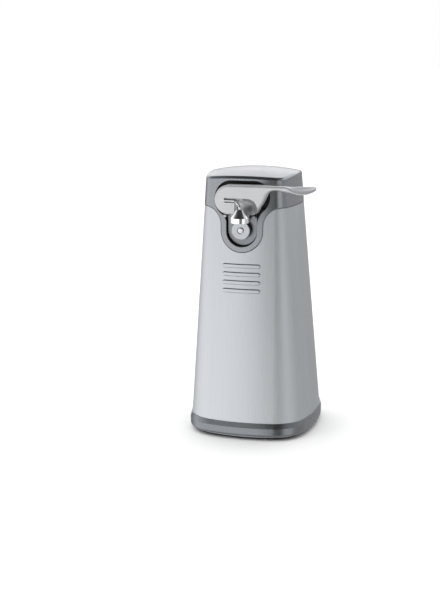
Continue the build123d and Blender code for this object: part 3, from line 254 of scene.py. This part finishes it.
# painted shade: a near-black material that stands for the deep shade inside the head's pocket
POCKET_PAINTED_SHADE = plain_plastic("pocket_painted_shade", (0.006, 0.006, 0.007), (0.012, 0.012, 0.013), 0.55)


def dress(part):
    """One node's material, from its slot in the record or its own finish."""
    cad = nodes[part["node"]]
    cad.data.materials.clear()
    cad.data.materials.append(FINISHES.get(part["node"], MATERIALS[part["material_slot"]]))


for part in frame["record"]["subparts"]:
    dress(part)


# the tower's front in the middle: its height, how far forward it is, and the radius of its bow
FOOT = {"z": 15 * MM, "front": -56 * MM, "bow_r": 130 * MM}
CREASE = {"z": 226 * MM, "front": -47.3 * MM, "bow_r": 90 * MM}
# the pocket of the head: its reach to each side, its top, and how far behind the front the painted shade
# begins
POCKET_HALF_WIDTH, POCKET_TOP_Z = 24.5 * MM, 223.5 * MM
PAINTED_SHADE_FROM = 0.9 * MM
BELOW_PLATE = 2 * MM  # the pocket reaches this far below the guide plate


def front_y(x, z):
    """How far forward the tower's front reaches at a place, from its bow and its taper."""
    up = (z - FOOT["z"]) / (CREASE["z"] - FOOT["z"])
    bow = FOOT["bow_r"] + (CREASE["bow_r"] - FOOT["bow_r"]) * up
    return FOOT["front"] + (CREASE["front"] - FOOT["front"]) * up + x * x / (2 * bow)


def paint_pocket_shade():
    """Painted shade: the inside of the head's pocket, its walls and floor from just behind the rim, gets a
    near-black second material.
    """
    mesh = nodes["head_housing"].data
    mesh.materials.append(POCKET_PAINTED_SHADE)
    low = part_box("guide_plate")[0][2] - BELOW_PLATE
    for face in mesh.polygons:
        x, y, z = face.center
        inside = abs(x) < POCKET_HALF_WIDTH and low < z < POCKET_TOP_Z
        faces_back = face.normal.y >= 0.5
        if inside and y > front_y(x, z) + PAINTED_SHADE_FROM and not faces_back:
            face.material_index = 1


paint_pocket_shade()


# ---------------------------------------------------------------- studio
FLOOR_SIZE, FLOOR_GREY = 30, 0.88


def floor():
    """The plain pale floor, wide enough to fill every view."""
    s = Shader("floor").set({"Roughness": 0.9})
    cloud = s.noise(3, 2.0)
    pale, darker = (FLOOR_GREY,) * 3, (FLOOR_GREY * 0.97,) * 3
    s.put(s.bsdf.inputs["Base Color"], s.mix(s.span(cloud, 0.0, 0.05), pale, darker))
    mesh = bpy.data.meshes.new("floor")
    h = FLOOR_SIZE / 2
    mesh.from_pydata([(-h, -h, 0), (h, -h, 0), (h, h, 0), (-h, h, 0)], [], [(0, 1, 2, 3)])
    mesh.materials.append(s.material)
    sheet = bpy.data.objects.new("floor", mesh)
    sheet.visible_glossy = False
    bpy.context.scene.collection.objects.link(sheet)


def lamp(name, kind, energy, aim, **settings):
    """A soft lamp for the matt surfaces; what shines reflects the surroundings instead."""
    data = bpy.data.lights.new(name, kind)
    data.energy = energy
    for setting, value in settings.items():
        setattr(data, setting, value)
    made = bpy.data.objects.new(name, data)
    made.rotation_mode = "QUATERNION"
    made.rotation_quaternion = Vector(aim).to_track_quat("-Z", "Y")
    made.visible_glossy = False
    bpy.context.scene.collection.objects.link(made)
    return made


# brightness of the surroundings against azimuth in degrees: 0 is the front (-Y), 90 the right (+X)
LOW_RING = [(-180, 0.36), (-124, 0.34), (-96, 1.38), (3, 1.46), (14, 0.20), (38, 0.18),
            (50, 1.20), (72, 1.15), (86, 0.55), (140, 0.60), (180, 0.36)]
HIGH_RING = [(-180, 1.50), (-115, 1.40), (-75, 0.30), (-20, 0.02),
             (40, 0.02), (75, 0.25), (115, 1.35), (180, 1.50)]
ZENITH, BELOW = 0.04, 0.55
BLUER = 1.01  # the surroundings are very slightly blue
# sines of the elevations between which one zone of brightness turns into the next
LOW_TO_HIGH, HIGH_TO_ZENITH, BELOW_TO_LOW = (0.06, 0.16), (0.62, 0.85), (-0.80, -0.45)
KEY_PLACE, KEY_AIM, KEY_SIZE = Vector((-1.0, -1.2, 1.5)), Vector((0, 0, 0.05)), 1.2


def make_world():
    """A light tent: bright panels left, back and right, dark gaps between them, and white to the camera."""
    world = bpy.data.worlds.new("studio")
    bpy.context.scene.world = world
    world.use_nodes = True
    tree = world.node_tree
    background = tree.nodes["Background"]

    def node(kind, inputs=None, **settings):
        made = tree.nodes.new("ShaderNode" + kind)
        for name, value in settings.items():
            setattr(made, name, value)
        for key, value in (inputs or {}).items():
            if isinstance(value, bpy.types.NodeSocket):
                tree.links.new(value, made.inputs[key])
            else:
                made.inputs[key].default_value = value
        return made

    def calc(kind, a, b=0.0, c=0.0):
        return node("Math", {0: a, 1: b, 2: c}, operation=kind).outputs[0]

    way = node("SeparateXYZ", {0: node("TexCoord").outputs["Generated"]}).outputs
    right, back, up = way[0], way[1], way[2]
    azimuth = calc("ARCTAN2", right, calc("MULTIPLY", back, -1.0))
    share = calc("MULTIPLY_ADD", azimuth, 0.5 / math.pi, 0.5)

    def ring(stops):
        """Brightness all the way round, from its stops."""
        ramp = node("ValToRGB", {0: share})
        elements = ramp.color_ramp.elements
        while len(elements) < len(stops):
            elements.new(0.5)
        for element, (degrees, _) in zip(elements, stops):
            element.position = (degrees + 180) / 360
        for element, (_, value) in zip(elements, stops):
            element.color = (value, value, value * BLUER, 1.0)
        return ramp.outputs[0]

    def climb(low, high):
        """0 below one height of the ray, 1 above the other."""
        return node("MapRange", {"Value": up, "From Min": low, "From Max": high}).outputs[0]

    def mixed(share, a, b):
        return node("Mix", {"Factor": share, 6: a, 7: b}, data_type="RGBA").outputs[2]

    rings = mixed(climb(*LOW_TO_HIGH), ring(LOW_RING), ring(HIGH_RING))
    tent = mixed(climb(*HIGH_TO_ZENITH), rings, (ZENITH, ZENITH, ZENITH, 1.0))
    tent = mixed(climb(*BELOW_TO_LOW), (BELOW, BELOW, BELOW, 1.0), tent)
    seen = node("LightPath").outputs["Is Camera Ray"]
    tree.links.new(mixed(seen, tent, (1.0, 1.0, 1.0, 1.0)), background.inputs[0])
    background.inputs[1].default_value = 1.0


make_world()
floor()
key = lamp("key", "AREA", 6, KEY_AIM - KEY_PLACE, shape="RECTANGLE", size=KEY_SIZE, size_y=KEY_SIZE)
key.location = KEY_PLACE
# a very broad sun keeps the floor equally white near and far
lamp("sun", "SUN", 3.0, (0.1, 0.05, -1.0), angle=math.radians(110.0))
